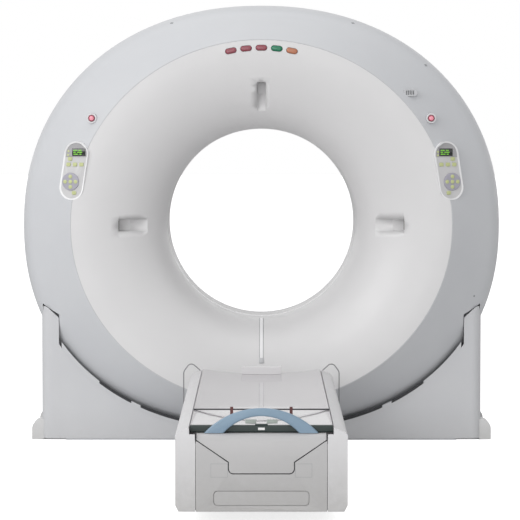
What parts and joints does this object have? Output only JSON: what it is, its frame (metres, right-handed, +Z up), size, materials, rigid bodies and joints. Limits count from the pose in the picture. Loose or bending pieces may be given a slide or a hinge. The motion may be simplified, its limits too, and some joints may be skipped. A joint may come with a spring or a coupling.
{
  "type": "computed tomography scanner",
  "caption": "Ring-shaped tilting CT scanner with a turning rotor inside, control panels, emergency stops, signal lamps and a patient couch that lifts and slides.",
  "frame": {"origin": "on the floor under the middle of the whole machine, gantry and couch together", "axes": "+X to the right seen from the couch's near end, +Y along the bore from the couch to the gantry, +Z up"},
  "size_m": [2.2518, 3.775, 2.0459],
  "materials": {
    "shell_grey": "satin",
    "flare_white": "satin",
    "base_white": "satin",
    "couch_white": "satin",
    "band_clear": "smooth",
    "laser_glass": "polished",
    "rail_white": "glossy",
    "lamp_red": "glossy, translucent",
    "lamp_green": "glossy, translucent",
    "lamp_orange": "glossy, translucent",
    "panel_grey": "fine satin",
    "display_glass": "polished",
    "key_lime": "satin, translucent",
    "pad_grey": "satin",
    "stop_red": "satin",
    "collar_white": "satin",
    "grille_grey": "satin",
    "frame_steel": "powder coat",
    "couch_steel": "powder coat",
    "bearing_steel": "ground",
    "stator_iron": "varnished laminations",
    "rotor_alu": "machined",
    "tube_alu": "cast, painted",
    "collimator_steel": "machined",
    "detector_alu": "anodised",
    "ring_copper": "polished tracks",
    "power_grey": "folded sheet",
    "drive_dark": "semi-gloss",
    "duct_grey": "matt",
    "foot_white": "satin",
    "arm_steel": "powder coat",
    "slide_steel": "ground",
    "table_carbon": "lacquered carbon fibre",
    "beam_dark": "satin",
    "handle_blue": "satin",
    "rod_dark": "blackened",
    "socket_white": "satin",
    "wire_steel": "drawn"
  },
  "bodies": {
    "base": {"gantry_base_frame": "frame_steel", "base_cover_left": "base_white", "base_cover_right": "base_white", "foot_covers": "foot_white", "floor_duct": "duct_grey", "tilt_drive": "drive_dark", "couch_base_frame": "couch_steel", "couch_lower_cover": "couch_white", "lift_drive": "drive_dark"},
    "ring": {"tilt_frame": "frame_steel", "front_cover": "shell_grey", "front_funnel": "flare_white", "rear_cover": "shell_grey", "rear_funnel": "flare_white", "scan_window_band": "band_clear", "bearing_race": "bearing_steel", "drive_stator": "stator_iron", "laser_windows": "laser_glass", "light_rail": "rail_white", "lamps_red": "lamp_red", "lamp_green": "lamp_green", "lamp_orange": "lamp_orange", "panel_left": "panel_grey", "panel_right": "panel_grey", "displays": "display_glass", "stop_collars": "collar_white", "intercom_grille": "grille_grey"},
    "rotor": {"rotor_drum": "rotor_alu", "xray_tube": "tube_alu", "collimator": "collimator_steel", "detector_arc": "detector_alu", "slip_ring": "ring_copper", "power_units": "power_grey"},
    "lift_front": {"lift_arm_front": "arm_steel"},
    "lift_rear": {"lift_arm_rear": "arm_steel"},
    "couch_upper": {"couch_upper_frame": "couch_steel", "slide_rails": "slide_steel", "couch_side_cover_left": "couch_white", "couch_side_cover_right": "couch_white", "couch_end_cover": "couch_white", "guard_wires": "wire_steel"},
    "table": {"tabletop": "table_carbon", "table_end_beam": "beam_dark", "pull_handle": "handle_blue", "cross_rod": "rod_dark", "head_holder_socket": "socket_white"},
    "stop_left": {"stop_button_left": "stop_red"},
    "stop_right": {"stop_button_right": "stop_red"},
    "key_menu_left": {"key_menu_left": "key_lime"},
    "key_row_outer_left": {"key_row_outer_left": "key_lime"},
    "key_row_middle_left": {"key_row_middle_left": "key_lime"},
    "key_row_inner_left": {"key_row_inner_left": "key_lime"},
    "key_direction_left": {"key_direction_left": "pad_grey"},
    "key_light_left": {"key_light_left": "key_lime"},
    "key_menu_right": {"key_menu_right": "key_lime"},
    "key_row_outer_right": {"key_row_outer_right": "key_lime"},
    "key_row_middle_right": {"key_row_middle_right": "key_lime"},
    "key_row_inner_right": {"key_row_inner_right": "key_lime"},
    "key_direction_right": {"key_direction_right": "pad_grey"},
    "key_light_right": {"key_light_right": "key_lime"}
  },
  "joints": [
    {"name": "gantry_tilt", "type": "hinge", "parent": "base", "child": "ring", "pos_m": [0, 1.4075, 1.015], "axis": [1, 0, 0], "range_deg": [-30, 30]},
    {"name": "rotor_spin", "type": "hinge", "parent": "ring", "child": "rotor", "pos_m": [0, 1.4075, 1.015], "axis": [0, 1, 0], "continuous": true},
    {"name": "lift_front_turn", "type": "hinge", "parent": "base", "child": "lift_front", "pos_m": [0, 0.5575, 0.11], "axis": [-1, 0, 0], "range_deg": [0, 47]},
    {"name": "lift_rear_turn", "type": "hinge", "parent": "base", "child": "lift_rear", "pos_m": [0, -0.5425, 0.11], "axis": [-1, 0, 0], "range_deg": [0, 47]},
    {"name": "couch_level", "type": "hinge", "parent": "lift_front", "child": "couch_upper", "pos_m": [0, -0.33908, 0.18844], "axis": [-1, 0, 0], "range_deg": [-47, 0]},
    {"name": "table_slide", "type": "slide", "parent": "couch_upper", "child": "table", "axis": [0, 1, 0], "range_m": [0, 0.6563]},
    {"name": "stop_left_press", "type": "slide", "parent": "ring", "child": "stop_left", "axis": [0, 1, 0], "range_m": [0, 0.005], "stiffness_N_per_m": 3000},
    {"name": "stop_right_press", "type": "slide", "parent": "ring", "child": "stop_right", "axis": [0, 1, 0], "range_m": [0, 0.005], "stiffness_N_per_m": 3000},
    {"name": "menu_left_press", "type": "slide", "parent": "ring", "child": "key_menu_left", "axis": [0.2924, 0.9563, 0], "range_m": [0, 0.0015], "stiffness_N_per_m": 1200},
    {"name": "row_outer_left_press", "type": "slide", "parent": "ring", "child": "key_row_outer_left", "axis": [0.2924, 0.9563, 0], "range_m": [0, 0.0015], "stiffness_N_per_m": 1200},
    {"name": "row_middle_left_press", "type": "slide", "parent": "ring", "child": "key_row_middle_left", "axis": [0.2924, 0.9563, 0], "range_m": [0, 0.0015], "stiffness_N_per_m": 1200},
    {"name": "row_inner_left_press", "type": "slide", "parent": "ring", "child": "key_row_inner_left", "axis": [0.2924, 0.9563, 0], "range_m": [0, 0.0015], "stiffness_N_per_m": 1200},
    {"name": "direction_left_press", "type": "slide", "parent": "ring", "child": "key_direction_left", "axis": [0.2924, 0.9563, 0], "range_m": [0, 0.0015], "stiffness_N_per_m": 1200},
    {"name": "light_left_press", "type": "slide", "parent": "ring", "child": "key_light_left", "axis": [0.2924, 0.9563, 0], "range_m": [0, 0.0015], "stiffness_N_per_m": 1200},
    {"name": "menu_right_press", "type": "slide", "parent": "ring", "child": "key_menu_right", "axis": [-0.2924, 0.9563, 0], "range_m": [0, 0.0015], "stiffness_N_per_m": 1200},
    {"name": "row_outer_right_press", "type": "slide", "parent": "ring", "child": "key_row_outer_right", "axis": [-0.2924, 0.9563, 0], "range_m": [0, 0.0015], "stiffness_N_per_m": 1200},
    {"name": "row_middle_right_press", "type": "slide", "parent": "ring", "child": "key_row_middle_right", "axis": [-0.2924, 0.9563, 0], "range_m": [0, 0.0015], "stiffness_N_per_m": 1200},
    {"name": "row_inner_right_press", "type": "slide", "parent": "ring", "child": "key_row_inner_right", "axis": [-0.2924, 0.9563, 0], "range_m": [0, 0.0015], "stiffness_N_per_m": 1200},
    {"name": "direction_right_press", "type": "slide", "parent": "ring", "child": "key_direction_right", "axis": [-0.2924, 0.9563, 0], "range_m": [0, 0.0015], "stiffness_N_per_m": 1200},
    {"name": "light_right_press", "type": "slide", "parent": "ring", "child": "key_light_right", "axis": [-0.2924, 0.9563, 0], "range_m": [0, 0.0015], "stiffness_N_per_m": 1200}
  ],
  "couplings": [
    {"joint": "lift_rear_turn", "follows": "lift_front_turn", "ratio": 1},
    {"joint": "couch_level", "follows": "lift_front_turn", "ratio": -1},
    {"joint": "table_slide", "follows": "lift_front_turn", "m_per_rad": 0.8}
  ]
}
